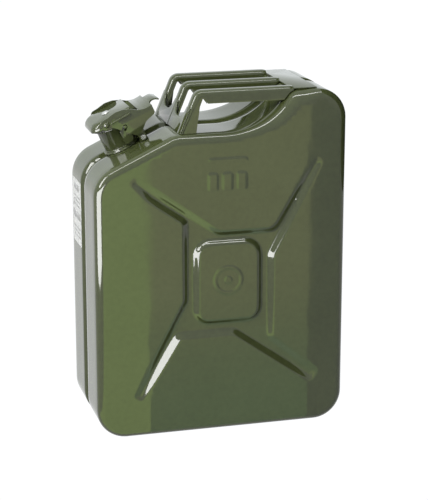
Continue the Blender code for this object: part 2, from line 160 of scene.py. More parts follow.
def loft(name, rings, caps=True, **where):
    bm = bmesh.new()
    rows = [[bm.verts.new(Vector(p) * MM) for p in ring] for ring in rings]
    for low, high in zip(rows, rows[1:]):
        for i in range(len(low)):
            j = (i + 1) % len(low)
            bm.faces.new((low[i], low[j], high[j], high[i]))
    if caps:
        bm.faces.new(rows[0])
        bm.faces.new(rows[-1])
    return link(name, bm, **where)


def prism(name, outline, low, high, axis="Y", **where):
    place = {"Y": lambda u, v, w: (u, w, v), "Z": lambda u, v, w: (u, v, w)}[axis]
    return loft(name, [[place(u, v, w) for u, v in outline] for w in (low, high)], **where)


def turned(name, profile, steps=96, axis="Z", at=(0, 0, 0), **where):
    """Profile of (radius, height) turned about an axis; open at the axis if it starts off it."""
    bm = bmesh.new()
    axial = [bm.verts.new(Vector((0, 0, h)) * MM) if r == 0 else None for r, h in profile]
    rows = []
    for i in range(steps):
        a = 2 * math.pi * i / steps
        rows.append([axial[k] or bm.verts.new(Vector((r * math.cos(a), r * math.sin(a), h)) * MM)
                     for k, (r, h) in enumerate(profile)])
    count = len(profile)
    closed = axial[0] is None
    for i in range(steps):
        here, after = rows[i], rows[(i + 1) % steps]
        for k in range(count if closed else count - 1):
            quad = [here[k], here[(k + 1) % count], after[(k + 1) % count], after[k]]
            corners = list(dict.fromkeys(quad))
            if len(corners) > 2:
                bm.faces.new(corners)
    if axis == "Y":
        bmesh.ops.rotate(bm, verts=bm.verts[:], matrix=Matrix.Rotation(math.radians(-90), 3, "X"))
    bmesh.ops.translate(bm, verts=bm.verts[:], vec=Vector(at) * MM)
    return link(name, bm, **where)


def apply_modifiers(obj):
    bpy.context.view_layer.update()
    result = bpy.data.meshes.new_from_object(obj.evaluated_get(bpy.context.evaluated_depsgraph_get()))
    obj.modifiers.clear()
    obj.data = result
    return obj


def combine(target, tools, operation="DIFFERENCE"):
    for tool in tools:
        step = target.modifiers.new("step", "BOOLEAN")
        step.operation = operation
        step.solver = "EXACT"
        step.object = tool
        apply_modifiers(target)
        bpy.data.objects.remove(tool, do_unlink=True)
    return target


def soften(obj, width, segments=3, angle=32.0):
    """Round the sharp edges of a finished shape."""
    step = obj.modifiers.new("soften", "BEVEL")
    step.width = width * MM
    step.segments = segments
    step.limit_method = "ANGLE"
    step.angle_limit = math.radians(angle)
    step.use_clamp_overlap = True
    step.harden_normals = False
    step.miter_outer = "MITER_ARC"
    apply_modifiers(obj)
    return obj


def shade(obj, angle=34.0):
    """Smooth shading that keeps creases sharper than angle."""
    mesh = obj.data
    mesh.shade_smooth()
    mesh.set_sharp_from_angle(angle=math.radians(angle))
    return obj


def place(obj, matrix):
    obj.data.transform(matrix)
    return obj


# ---------------------------------------------------------------- materials
class Nodes:
    """Small helper for building a node tree."""

    def __init__(self, name):
        self.mat = bpy.data.materials.new(name)
        self.mat.use_nodes = True
        self.tree = self.mat.node_tree
        self.shader = self.tree.nodes["Principled BSDF"]
        self.coords = self.tree.nodes.new("ShaderNodeTexCoord").outputs["Object"]

    def join(self, source, target):
        self.tree.links.new(source, target)

    def noise(self, scale, detail=3.0, rough=0.5, stretch=(1, 1, 1)):
        mapping = self.tree.nodes.new("ShaderNodeMapping")
        mapping.inputs["Scale"].default_value = stretch
        self.join(self.coords, mapping.inputs["Vector"])
        node = self.tree.nodes.new("ShaderNodeTexNoise")
        node.inputs["Scale"].default_value = scale
        node.inputs["Detail"].default_value = detail
        node.inputs["Roughness"].default_value = rough
        self.join(mapping.outputs["Vector"], node.inputs["Vector"])
        return node.outputs["Fac"]

    def ramp(self, source, stops):
        node = self.tree.nodes.new("ShaderNodeValToRGB")
        band = node.color_ramp
        while len(band.elements) < len(stops):
            band.elements.new(0.5)
        for element, (position, colour) in zip(band.elements, stops):
            element.position = position
            element.color = colour if len(colour) == 4 else (*colour, 1.0)
        self.join(source, node.inputs["Fac"])
        return node.outputs["Color"]

    def spread(self, source, low, high):
        node = self.tree.nodes.new("ShaderNodeMapRange")
        node.inputs["From Min"].default_value = 0.3
        node.inputs["From Max"].default_value = 0.7
        node.inputs["To Min"].default_value = low
        node.inputs["To Max"].default_value = high
        self.join(source, node.inputs["Value"])
        return node.outputs["Result"]

    def mix(self, factor, low, high, kind="MIX"):
        node = self.tree.nodes.new("ShaderNodeMix")
        node.data_type = "RGBA"
        node.blend_type = kind
        for socket, value in (("Factor", factor), ("A", low), ("B", high)):
            place_in = [s for s in node.inputs if s.name == socket and s.enabled][0]
            if isinstance(value, (tuple, float, int)):
                place_in.default_value = value
            else:
                self.join(value, place_in)
        return [s for s in node.outputs if s.enabled][0]

    def bump(self, source, strength, distance_mm, normal=None):
        node = self.tree.nodes.new("ShaderNodeBump")
        node.inputs["Strength"].default_value = strength
        node.inputs["Distance"].default_value = distance_mm * MM
        self.join(source, node.inputs["Height"])
        if normal:
            self.join(normal, node.inputs["Normal"])
        return node.outputs["Normal"]


def painted(name, tone=1.0):
    """Glossy olive enamel on pressed steel: slight orange peel, uneven film, faint scuffs."""
    n = Nodes(name)
    cloud = n.noise(9.0, 4.0, 0.55)
    fine = n.noise(150.0, 5.0, 0.6)
    low = (0.058 * tone, 0.071 * tone, 0.0245 * tone, 1.0)
    high = (0.068 * tone, 0.083 * tone, 0.031 * tone, 1.0)
    body = n.ramp(cloud, [(0.32, low), (0.68, high)])
    speck = n.ramp(fine, [(0.30, (0.90, 0.90, 0.90)), (0.62, (1.04, 1.04, 1.04))])
    colour = n.mix(1.0, body, speck, "MULTIPLY")
    n.join(colour, n.shader.inputs["Base Color"])
    n.join(n.spread(n.noise(28.0, 5.0, 0.65), 0.035, 0.07), n.shader.inputs["Roughness"])
    n.shader.inputs["IOR"].default_value = 1.5
    peel = n.bump(n.noise(330.0, 2.0, 0.4), 0.02, 0.25)
    waves = n.bump(n.noise(16.0, 2.0, 0.4), 0.22, 1.6, peel)
    n.join(waves, n.shader.inputs["Normal"])
    return n.mat


def zinc(name):
    """Bright plated steel with fine turning marks and dull patches."""
    n = Nodes(name)
    patch = n.noise(120.0, 5.0, 0.6)
    n.join(n.ramp(patch, [(0.3, (0.50, 0.50, 0.48)), (0.7, (0.70, 0.70, 0.67))]),
           n.shader.inputs["Base Color"])
    n.shader.inputs["Metallic"].default_value = 1.0
    n.join(n.spread(n.noise(600.0, 3.0, 0.5), 0.16, 0.34), n.shader.inputs["Roughness"])
    n.join(n.bump(n.noise(900.0, 2.0, 0.5, (1, 6, 1)), 0.15, 0.08), n.shader.inputs["Normal"])
    return n.mat


def rubber(name):
    n = Nodes(name)
    n.join(n.ramp(n.noise(300.0, 4.0), [(0.3, (0.012, 0.012, 0.012)), (0.7, (0.028, 0.028, 0.027))]),
           n.shader.inputs["Base Color"])
    n.join(n.spread(n.noise(200.0), 0.55, 0.75), n.shader.inputs["Roughness"])
    n.join(n.bump(n.noise(900.0, 3.0), 0.3, 0.12), n.shader.inputs["Normal"])
    return n.mat


def label_film(name, tone=1.0):
    """White printed film; a darker tone makes the plain bars that stand in for its printing."""
    n = Nodes(name)
    low, high = (0.66 * tone, 0.67 * tone, 0.66 * tone), (0.74 * tone, 0.75 * tone, 0.74 * tone)
    n.join(n.ramp(n.noise(240.0, 3.0), [(0.3, low), (0.7, high)]), n.shader.inputs["Base Color"])
    n.join(n.spread(n.noise(90.0, 4.0), 0.22, 0.36), n.shader.inputs["Roughness"])
    n.join(n.bump(n.noise(500.0, 2.0), 0.12, 0.06), n.shader.inputs["Normal"])
    return n.mat


PAINT = painted("olive_enamel")
PAINT_SMALL = painted("olive_enamel_fittings", 0.96)
STEEL = zinc("plated_steel")
RUBBER = rubber("black_rubber")
PAPER = label_film("label_film")
INK = label_film("label_bars", 0.62)


# ---------------------------------------------------------------- body pressings
CROSS = [(-118.5, 362.7, 6), (-3.0, 282.0, 14), (71.5, 282.0, 14), (128.5, 376.5, 6.5),
         (139.6, 369.5, 6.5), (72.2, 243.0, 12), (72.3, 128.0, 5), (138.5, 74.0, 8),
         (126.0, 56.5, 8), (16.3, 135.0, 14), (-58.6, 135.0, 7), (-111.5, 49.5, 6),
         (-124.5, 57.5, 6), (-54.5, 187.5, 9), (-54.5, 294.8, 7), (-102.3, 328.1, 30),
         (-125.5, 353.0, 6)]
PANEL = [(-33.0, 157.5, 15), (50.0, 157.5, 15), (50.0, 263.5, 19), (-33.0, 263.5, 16)]

# plain pressed shapes: three rounded blocks, a thin bar over them and a ring in the centre panel
MARK_BLOCKS = [(-13.0, 349.0, 6.4, 11.6), (6.8, 349.0, 6.4, 11.6), (26.6, 349.0, 6.4, 11.6)]
MARK_BAR = (7.6, 378.6, 25.8, 1.7)
RING_AT, RING_R, RING_HALF, BOSS_R = (8.0, 213.0), 18.0, 2.0, 5.0


def bounds_of(points):
    return (min(p[0] for p in points), min(p[1] for p in points),
            max(p[0] for p in points), max(p[1] for p in points))


def edge_distance(point, polygon):
    """Distance from a point to a polygon's edge, positive inside."""
    x, z = point
    best = 1e9
    inside = False
    px, pz = polygon[-1]
    for qx, qz in polygon:
        dx, dz = qx - px, qz - pz
        size = dx * dx + dz * dz
        along = 0.0 if size == 0 else max(0.0, min(1.0, ((x - px) * dx + (z - pz) * dz) / size))
        gap = (x - px - along * dx) ** 2 + (z - pz - along * dz) ** 2
        best = min(best, gap)
        if (qz > z) != (pz > z) and x < (px - qx) * (z - qz) / (pz - qz) + qx:
            inside = not inside
        px, pz = qx, qz
    return math.sqrt(best) * (1 if inside else -1)


def ramped(distance, run_out, depth, soft=1.3):
    """Depth of a drafted wall at a distance past its top edge, with soft corners."""
    def smooth_ramp(v):
        if v <= -soft:
            return 0.0
        if v >= soft:
            return v
        return (v + soft) ** 2 / (4 * soft)
    slope = depth / run_out
    return slope * (smooth_ramp(distance) - smooth_ramp(distance - run_out))


CROSS_LINE = rounded(CROSS)
PANEL_LINE = rounded(PANEL)
CROSS_BOX, PANEL_BOX = bounds_of(CROSS_LINE), bounds_of(PANEL_LINE)


def capsule(point, shape):
    """How far a point is outside a rounded block (x, z, half width, half height)."""
    cx, cz, half_w, half_h = shape
    r = min(half_w, half_h, 3.0)
    dx = max(abs(point[0] - cx) - half_w + r, 0.0)
    dz = max(abs(point[1] - cz) - half_h + r, 0.0)
    return math.hypot(dx, dz) - r


def marks(point):
    """Height of the plain pressed marks over the face."""
    x, z = point
    gaps = []
    if z > 330:
        gaps = [capsule(point, MARK_BAR)] + [capsule(point, block) for block in MARK_BLOCKS]
    elif math.dist(point, RING_AT) < 40:
        reach = math.dist(point, RING_AT)
        gaps = [abs(reach - RING_R) - RING_HALF, reach - BOSS_R]
    if not gaps:
        return 0.0
    gap = min(gaps)
    return MARK_HEIGHT * max(0.0, min(1.0, 0.5 - gap / 1.6))


def face_depth(point):
    """How far the broad face is pressed in at a point, and how near that point is to an edge."""
    x, z = point
    if not (CROSS_BOX[0] - 9 < x < CROSS_BOX[2] + 9 and CROSS_BOX[1] - 9 < z < CROSS_BOX[3] + 9):
        return 0.0, 99.0
    outer = edge_distance(point, CROSS_LINE)
    inner = 99.0
    if PANEL_BOX[0] - 12 < x < PANEL_BOX[2] + 12 and PANEL_BOX[1] - 12 < z < PANEL_BOX[3] + 12:
        inner = -edge_distance(point, PANEL_LINE)
    shallow = 1 - TIP_RISE * fade(abs(x - PANEL_MIDDLE), 88.0, 132.0)
    depth = shallow * min(ramped(outer, WALL_RUN, RECESS_DEPTH), ramped(inner, PANEL_RUN, RECESS_DEPTH))
    near = min(abs(outer - WALL_RUN / 2), abs(inner - PANEL_RUN / 2))
    return depth, near


def face_points(boundary):
    """Grid over the broad face, fine where it is shaped."""
    fine, coarse = 1.7, 6.8
    box = bounds_of(boundary)
    points = []
    rows = int((box[3] - box[1]) / fine) + 1
    columns = int((box[2] - box[0]) / fine) + 1
    step = round(coarse / fine)
    for r in range(rows):
        for c in range(columns):
            x, z = box[0] + c * fine, box[1] + r * fine
            on_coarse = r % step == 0 and c % step == 0
            mark = -26 < x < 42 and (332 < z < 384 or 184 < z < 242)
            if not on_coarse and not mark and face_depth((x, z))[1] > 7.0:
                continue
            margin = edge_distance((x, z), boundary)
            if margin > 1.2 and (on_coarse or mark or margin > 2.0):
                points.append((x, z))
    return points


def section_rows():
    """(inset, distance from the seam plane) from the side wall to the weld rim."""
    rows = [(0.0, 60.0), (0.0, 45.0), (0.0, 30.0), (0.0, 18.0), (0.0, 12.6), (0.25, 11.7), (0.9, 10.8)]
    rows += [(3.8, 8.3), (6.5, 5.9), (7.2, 5.1), (7.5, 4.2), (7.5, 2.6), (7.3, 1.7), (6.6, 1.35)]
    rows += [(3.4, 1.3), (2.8, 1.15), (2.5, 0.8), (2.5, 0.15)]
    return rows


def fade(value, low, high):
    """Smooth step from 0 at low to 1 at high."""
    t = max(0.0, min(1.0, (value - low) / (high - low)))
    return t * t * (3 - 2 * t)


def edge_radius(x, z):
    """Rounding of the broad face's edge: larger where the scoop climbs to the crest."""
    if z < 415.0 or x < 0:
        return EDGE_R
    return EDGE_R + CREST_EXTRA * fade(x, 30.0, 84.0) * (1 - fade(x, 108.0, 138.0))


def skin_rings():
    """Rings of (x, distance from the seam plane, z) from the broad face to the weld rim."""
    plain, unit = can_outline(0.0), can_outline(1.0)
    inward = [(b[0] - a[0], b[1] - a[1]) for a, b in zip(plain, unit)]
    radii = [edge_radius(x, z) for x, z in plain]
    turns = 8
    levels = []
    for k in range(turns + 1):
        a = math.radians(90.0 * k / turns)
        levels.append([(r * (1 - math.sin(a)), FACE_Y - r * (1 - math.cos(a))) for r in radii])
    levels += [[row] * len(plain) for row in section_rows()]
    rings = []
    for level in levels:
        rings.append([(x + dx * inset, away, z + dz * inset)
                      for (x, z), (dx, dz), (inset, away) in zip(plain, inward, level)])
    return rings


def shell_mesh():
    """The front pressing's outer skin as points and faces, broad face at -Y."""
    rings = skin_rings()
    face_edge = [(x, z) for x, away, z in rings[0]]
    count = len(rings[0])
    points = []
    faces = []
    for ring in rings:
        points += [(x, -away, z) for x, away, z in ring]
    for k in range(len(rings) - 1):
        for i in range(count):
            j = (i + 1) % count
            faces.append((k * count + i, k * count + j, (k + 1) * count + j, (k + 1) * count + i))
    inner = face_points(face_edge)
    plane = [Vector(p) for p in face_edge] + [Vector(p) for p in inner]
    edges = [(i, (i + 1) % count) for i in range(count)]
    made = delaunay_2d_cdt(plane, edges, [], 1, 1e-4)
    places = []
    for spot, sources in zip(made[0], made[3]):
        if sources and sources[0] < count:
            places.append(sources[0])
            continue
        depth, near = face_depth(spot)
        places.append(len(points))
        points.append((spot.x, -FACE_Y + depth - marks(spot), spot.y))
    for corners in made[2]:
        faces.append(tuple(places[c] for c in corners))
    return points, faces


def neck_matrix():
    return (Matrix.Translation(Vector(NECK_BASE) * MM)
            @ Matrix.Rotation(math.radians(-TILT), 4, "Y"))


NECK = neck_matrix()


def shell(name, node, points, faces, side):
    """One pressing with the neck hole cut, one sheet thick."""
    bm = bmesh.new()
    verts = [bm.verts.new((x * MM, -side * y * MM, z * MM)) for x, y, z in points]
    for corners in faces:
        bm.faces.new([verts[c] for c in corners])
    rim = [e for e in bm.edges if e.is_boundary]
    bmesh.ops.contextual_create(bm, geom=rim)
    obj = link(name, bm, PAINT)
    hole = turned("hole_tool", [(0, -12), (SKIRT_R - 0.6, -12), (SKIRT_R - 0.6, 20), (0, 20)])
    combine(obj, [place(hole, NECK)])
    bm = bmesh.new()
    bm.from_mesh(obj.data)
    to_neck = NECK.inverted()
    inner = []
    for face in bm.faces:
        spots = [to_neck @ v.co for v in face.verts]
        in_pocket = all(math.hypot(p.x, p.y) < (SKIRT_R - 0.5) * MM and p.z > -13 * MM for p in spots)
        on_seam = abs(face.normal.y) > 0.99 and all(abs(v.co.y) < 0.3 * MM for v in face.verts)
        if in_pocket or on_seam:
            inner.append(face)
    bmesh.ops.delete(bm, geom=inner, context="FACES")
    bm.to_mesh(obj.data)
    bm.free()
    thick = obj.modifiers.new("sheet", "SOLIDIFY")
    thick.thickness = SHEET * MM
    thick.offset = -1.0
    apply_modifiers(obj)
    shade(obj, 50.0)
    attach(obj, "can")
    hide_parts(node)
    return obj


def body():
    points, faces = shell_mesh()
    shell("front_pressing", "front_half_shell", points, faces, -1)
    shell("rear_pressing", "rear_half_shell", points, faces, 1)


# ---------------------------------------------------------------- handles
HANDLE_FOOT, HANDLE_LEAN, HANDLE_BEND_R = (-56.2, 413.8), 67.7, 14.0
PLATE = 1.8                          # sheet of the handle pressing
PLATE_SINK = 0.35                    # the flat plates lie this far below the bars' top line
KNEE_Z = 447.0                       # the front plate ends here, inside the legs
STAND = 0.4                          # clearance of the handle over the shells
BAR_ROUND, BAR_DEEP = 6.0, 9.0       # rounding of a bar's top, and depth of its sides on the leg


def handle_top_line(offset, steps=14):
    """Upper surface of the handle pressing from foot to rear end, moved inwards."""
    lean = math.radians(HANDLE_LEAN)
    bend = (-23.6, HEIGHT - HANDLE_BEND_R)
    start = (HANDLE_FOOT[0] + math.sin(lean) * offset, HANDLE_FOOT[1] - math.cos(lean) * offset)
    line = [start] + arc(bend, HANDLE_BEND_R - offset, 90 + HANDLE_LEAN, 90, steps)
    line += [(96.0, HEIGHT - offset), (108.0, HEIGHT - 2.0 - offset), (133.0, HEIGHT - 2.0 - offset)]
    return line


def bar_section():
    """Channel section of a carrying bar as (across, depth below the top line)."""
    half, r, deep, thin = BAR_HALF, BAR_ROUND, BAR_DEEP, PLATE
    left, right = (-half + r, r), (half - r, r)
    outer = [(-half, deep)] + arc(left, r, 180, 270, 7) + arc(right, r, 270, 360, 7) + [(half, deep)]
    inner = [(half - thin, deep)] + arc(right, r - thin, 360, 270, 7) + arc(left, r - thin, 270, 180, 7)
    return outer + inner + [(-half + thin, deep)]


def bar_bottom(x):
    """Lower edge of a bar's sides, kept just above the scoop and the crest."""
    scoop_end = SCOOP_C[0] + SCOOP_R * math.cos(math.radians(SCOOP_END))
    if x < scoop_end:
        surface = SCOOP_C[1] - math.sqrt(SCOOP_R ** 2 - (x - SCOOP_C[0]) ** 2)
    else:
        surface = CREST_C[1] + math.sqrt(CREST_R ** 2 - (x - CREST_C[0]) ** 2)
    return max(BAR_UNDER, surface + STAND)


def bar(name, centre):
    """One carrying bar with its front leg, bent from foot to rear plate."""
    section = bar_section()
    lines = {h: handle_top_line(h)[:-3] for y, h in section}
    rings = []
    for k in range(len(lines[BAR_DEEP])):
        rings.append([(lines[h][k][0], centre + y, lines[h][k][1]) for y, h in section])
    for x in (-17.0, 30.0, 80.0, 87.4, 91.3, 95.9, 100.4):
        top = HEIGHT - max(0.0, x - 96.0) / 6.0
        deep = top - bar_bottom(x)
        rings.append([(x, centre + y, top - (deep if h == BAR_DEEP else min(h, deep - 0.2)))
                      for y, h in section])
    floor = PAN_Z + STAND
    first = []
    for (x0, y0, z0), (x1, y1, z1) in zip(rings[0], rings[1]):
        first.append((x0 + (x1 - x0) * (floor - z0) / (z1 - z0), y0, floor))
    rings[0] = first
    return loft(name, rings, material=PAINT)


def side_flange(name, side):
    """Triangular web on the outer side of an outer leg."""
    outer = handle_top_line(BAR_ROUND * 0.8)
    floor = PAN_Z + STAND
    under = [(-18.5, BAR_UNDER), (-24.0, 459.5), (-28.0, 449.0), (-33.0, floor), (outer[0][0], floor)]
    low, high = sorted((side * (HANDLE_HALF - PLATE), side * (HANDLE_HALF - 0.05)))
    return prism(name, outer[:-3] + [(-18.5, outer[-3][1])] + under, low, high, material=PAINT)


def handle():
    top, inside = handle_top_line(PLATE_SINK), handle_top_line(PLATE + PLATE_SINK)
    floor = PAN_Z + STAND
    slope = (top[1][0] - top[0][0]) / (top[1][1] - top[0][1])
    foot = [(line[0][0] + (floor - line[0][1]) * slope, floor) for line in (top, inside)]
    knees = [(line[0][0] + (KNEE_Z - line[0][1]) * slope, KNEE_Z) for line in (top, inside)]
    wide = HANDLE_HALF - 0.6
    plate = prism("handle_plate", [foot[0], knees[0], knees[1], foot[1]], -wide, wide, material=PAINT)
    slots = []
    for low, high in zip(BAR_Y, BAR_Y[1:]):
        y0, y1 = low + BAR_HALF - 1.5, high - BAR_HALF + 1.5
        in_plate = rounded([(y0, 431.0, 19), (y1, 431.0, 19), (y1, 500.0, 0), (y0, 500.0, 0)])
        slots.append(loft("slot_tool", [[(x, y, z) for y, z in in_plate] for x in (-80.0, -12.0)]))
    combine(plate, slots)
    soften(plate, 0.7, 3)
    rear_plate = [(98.2, -wide), (133.0, -wide), (133.0, wide), (98.2, wide)]
    rear = prism("handle_rear", rear_plate, TOP_FLAT + PLATE_SINK, HEIGHT - 2.3, axis="Z", material=PAINT)
    soften(rear, 0.6, 2)
    pieces = [plate, rear]
    for name, centre in zip(("handle_bar_front", "handle_bar_middle", "handle_bar_rear"), BAR_Y):
        pieces.append(bar(name, centre))
    for name, side in (("handle_web_front", -1), ("handle_web_rear", 1)):
        pieces.append(side_flange(name, side))
    for piece in pieces:
        shade(piece, 40.0)
        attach(piece, "can")
    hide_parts("handle_stamping")


# ---------------------------------------------------------------- neck and fixed fittings
def ride(obj, body_name, node):
    shade(obj)
    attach(obj, body_name)
    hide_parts(node)
    return obj


def neck():
    r, w, top = NECK_R, NECK_WALL, NECK_TOP
    lip = arc((r + 0.4, top - 1.5), 1.2, -90, 90, 8)
    profile = [(r, -9), (r, top - 3.4)] + lip + [(r - 0.4, top), (r - w, top - 0.8), (r - w, -9)]
    tube = turned("neck_tube", profile, material=PAINT_SMALL)
    ride(place(tube, NECK), "can", "filler_neck")
    i = r + FIT_GAP
    flange = arc((24.4, 1.2), 0.8, -80, 80, 6)
    bead = arc((23.2, 4.2), 1.0, -60, 110, 8)
    skirt = SKIRT_R - 0.8
    profile = [(i, -9), (skirt, -9), (skirt, 0.4)] + flange + bead + [(i, 5.2)]
    ring = turned("neck_ring", profile, material=PAINT_SMALL)
    ride(place(ring, NECK), "can", "neck_base_ring")


def lugs():
    r, top = NECK_R, NECK_TOP
    ct, cn = CAM
    for word, side in (("front", -1), ("rear", 1)):
        block = ([(ct - 9, 7), (ct + 2, 7), (ct + 4.5, 12), (ct + 4.5, cn - 3)]
                 + arc((ct, cn), 3.5, 0, 180, 10) + [(ct - 9, cn - 5)])
        low, high = sorted((side * 12.0, side * (SIDE_IN - 0.6)))
        lug = prism("lug_" + word, block, low, high, material=PAINT_SMALL)
        waist = turned("neck_tool", [(0, -20), (r + 0.3, -20), (r + 0.3, top - 3.8), (r + 2, top - 3.4),
                                     (r + 2, 60), (0, 60)])
        combine(lug, [waist])
        soften(lug, 0.8, 3)
        ride(place(lug, NECK), "can", "neck_lug_" + word)


def bracket():
    ht, hn = HINGE
    saddle = [(ht - 6, FIT_GAP), (ht + 6, FIT_GAP)] + arc((ht, hn), 5.0, 0, 180, 16)
    piece = prism("hinge_saddle", saddle, -SIDE_IN + 0.7, SIDE_IN - 0.7, material=PAINT_SMALL)
    ring = turned("ring_tool", [(0, -4), (25.5, -4), (25.5, 2.7), (24.6, 3.4), (24.6, 5.6),
                                (NECK_R + 0.4, 5.6), (NECK_R + 0.4, 30), (0, 30)])
    combine(piece, [ring])
    soften(piece, 0.7, 2)
    ride(place(piece, NECK), "can", "hinge_bracket")


# ---------------------------------------------------------------- closure
YOKE_LEVELS = [(40.0, -30.4, 30.8), (42.5, -30.4, 30.8), (46.4, -28.0, 30.4), (49.0, -24.8, 29.4),
               (50.0, -22.6, 28.4), (50.4, -21.0, 27.2)]     # height, front edge, half width


def yoke():
    ht, hn = HINGE
    pt, pn = PIVOT
    rear, corner = 29.6, 12.0

    def levels(shrink, first):
        rings = []
        for height, front, half in YOKE_LEVELS:
            f, h, r = front + shrink, half - shrink, corner - shrink
            outline = rounded([(f, -h, r), (rear - shrink, -h, 2.5), (rear - shrink, h, 2.5), (f, h, r)])
            level = first if height == YOKE_LEVELS[0][0] else height - shrink
            rings.append([(t, y, level) for t, y in outline])
        return rings

    piece = loft("yoke", levels(0.0, YOKE_LEVELS[0][0]), material=PAINT_SMALL)
    side_plate = (arc((ht, hn), 4.9, -150, 10, 12)
                  + rounded([(33.0, 26.0, 0), (32.4, 41.0, 3), (31.0, 45.0, 2), (28.0, 46.0, 1),
                             (-12.0, 46.0, 1), (-15.0, 44.0, 0)], closed=False)
                  + arc((pt, pn), 6.6, 200, 290, 8) + [(0.0, 38.0), (15.0, 37.0), (18.4, 33.0)])
    combine(piece, [loft("hollow_tool", levels(SIDE_OUT - SIDE_IN, 30.0))])
    for side in (-1, 1):
        low, high = sorted((side * (SIDE_IN + 0.02), side * (SIDE_OUT - 0.04)))
        combine(piece, [prism("side_tool", side_plate, low, high)], "UNION")
    soften(piece, 0.5, 2, 50.0)
    bore = [(0, -40), (PIN_R + 0.2, -40), (PIN_R + 0.2, 40), (0, 40)]
    rivet_hole = [(0, 30), (3.4, 30), (3.4, 70), (0, 70)]
    combine(piece, [turned("bore_tool", bore, 24, "Y", (ht, 0, hn)),
                    turned("bore_tool", bore, 24, "Y", (pt, 0, pn)),
                    turned("bore_tool", rivet_hole, 24)])
    ride(place(piece, NECK), "cap", "cap_yoke")


def dome():
    rim = [(28.6, 35.8), (28.6, 38.6)] + arc((27.9, 38.7), 0.7, 0, 90, 5)
    crown = [(26.6, 39.5), (26.0, 40.2), (25.3, 43.8), (24.6, 45.4), (23.2, 46.8), (20.4, 48.0), (14.0, 48.3)]
    hole = [(3.4, 48.2), (3.4, 46.8)]
    under = [(19.0, 46.8), (23.2, 44.6), (24.2, 38.1), (27.4, 38.1), (27.4, 35.8)]
    profile = rim + crown + hole + under
    piece = turned("dome", profile, material=PAINT_SMALL)
    ride(place(piece, NECK), "cap", "cap_dome")


def cam_path(steps=14):
    points = []
    for i in range(steps + 1):
        turn = 20.0 * i / steps
        points.append(rotate2d(rotate2d(CAM, HINGE, turn), PIVOT, -LEVER_RATIO * turn))
    return points


def lever():
    pt, pn = PIVOT
    top = [(-4.0, 52.0, 6), (8.0, 54.0, 12), (19.0, 52.4, 12), (29.0, 48.0, 12), (37.0, 42.4, 8),
           (46.0, 39.6, 14), (54.0, 39.8, 14), (60.5, 41.6, 10), (66.0, 41.2, 8), (71.5, 37.6, 0.8)]
    under = [(70.6, 36.2, 0.8), (65.6, 39.3, 8), (61.0, 39.8, 8), (57.8, 38.6, 0.5), (57.4, 30.0, 3),
             (54.0, 27.4, 4), (40.0, 23.6, 10), (33.0, 17.0, 8), (26.5, 12.6, 4), (21.0, 12.4, 4),
             (14.0, 19.0, 6), (3.0, 31.0, 8), (-3.0, 37.0, 3)]
    outline = rounded(top + under, 5, closed=False) + arc((pt, pn), 7.5, 280, 110, 12)
    piece = prism("locking_lever", outline, -CHEEK_OUT + 0.05, CHEEK_OUT - 0.05, material=PAINT_SMALL)
    for side in (-1, 1):
        edge, far = side * TAIL_HALF, side * (CHEEK_OUT + 6)
        beside_tail = rounded([(56.4, edge, 5), (90.0, edge, 0), (90.0, far, 0), (56.4, far, 0)])
        combine(piece, [prism("tail_tool", beside_tail, 10.0, 70.0, axis="Z")])
    soften(piece, 1.2, 3, 50.0)
    hollow = rounded([(-30.0, 70.0, 0), (38.0, 70.0, 0), (38.0, 39.8, 2), (46.0, 37.6, 10), (54.0, 37.9, 10),
                      (57.6, 38.5, 0), (57.6, 0.0, 0), (-30.0, 0.0, 0)])
    bore = [(0, -40), (PIN_R + 0.2, -40), (PIN_R + 0.2, 40), (0, 40)]
    combine(piece, [prism("hollow_tool", hollow, -CHEEK_IN, CHEEK_IN),
                    turned("bore_tool", bore, 24, "Y", (pt, 0, pn))])
    path = cam_path()
    wide = 3.1
    left, right = [], []
    for k, (x, z) in enumerate(path):
        ahead, behind = path[min(k + 1, len(path) - 1)], path[max(k - 1, 0)]
        dx, dz = ahead[0] - behind[0], ahead[1] - behind[1]
        size = math.hypot(dx, dz)
        left.append((x - dz / size * wide, z + dx / size * wide))
        right.append((x + dz / size * wide, z - dx / size * wide))
    first = math.degrees(math.atan2(path[1][1] - path[0][1], path[1][0] - path[0][0]))
    outline = right[::-1] + arc(path[0], wide, first + 270, first + 90, 10)[1:-1] + left
    for side in (-1, 1):
        low, high = sorted((side * (CHEEK_IN - 4), side * (CHEEK_OUT + 4)))
        combine(piece, [prism("slot_tool", outline, low, high)])
    ride(place(piece, NECK), "lever", "lever")
    for word, side in (("front", -1), ("rear", 1)):
        line = rounded([(-3.5, 41.8, 1.3), (25.8, 42.0, 1.3), (25.8, 45.2, 1.3), (-3.5, 45.0, 1.3)], 4)
        low, high = sorted((side * (CHEEK_OUT - 0.3), side * (CHEEK_OUT + 2.2)))
        bead = prism("lever_bead_" + word, line, low, high, material=PAINT_SMALL)
        soften(bead, 1.4, 5, 50.0)
        shade(place(bead, NECK))
        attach(bead, "lever")


def rivet_heads():
    pt, pn = PIVOT
    for word, side in (("front", -1), ("rear", 1)):
        head = CHEEK_OUT + 0.3
        dome_line = arc((0, head + 0.2), 4.2, 0, 90, 8)
        profile = [(0, SIDE_IN - 0.8), (PIN_R, SIDE_IN - 0.8), (PIN_R, head), (4.2, head)]
        profile += [(r, head + 0.2 + (h - head - 0.2) * 0.55) for r, h in dome_line[:-1]] + [(0, head + 2.5)]
        if side < 0:
            profile = [(r, -h) for r, h in reversed(profile)]
        piece = turned("lever_rivet_head_" + word, profile, 32, "Y", (pt, 0, pn), material=PAINT_SMALL)
        ride(place(piece, NECK), "cap", "lever_rivet_" + word)


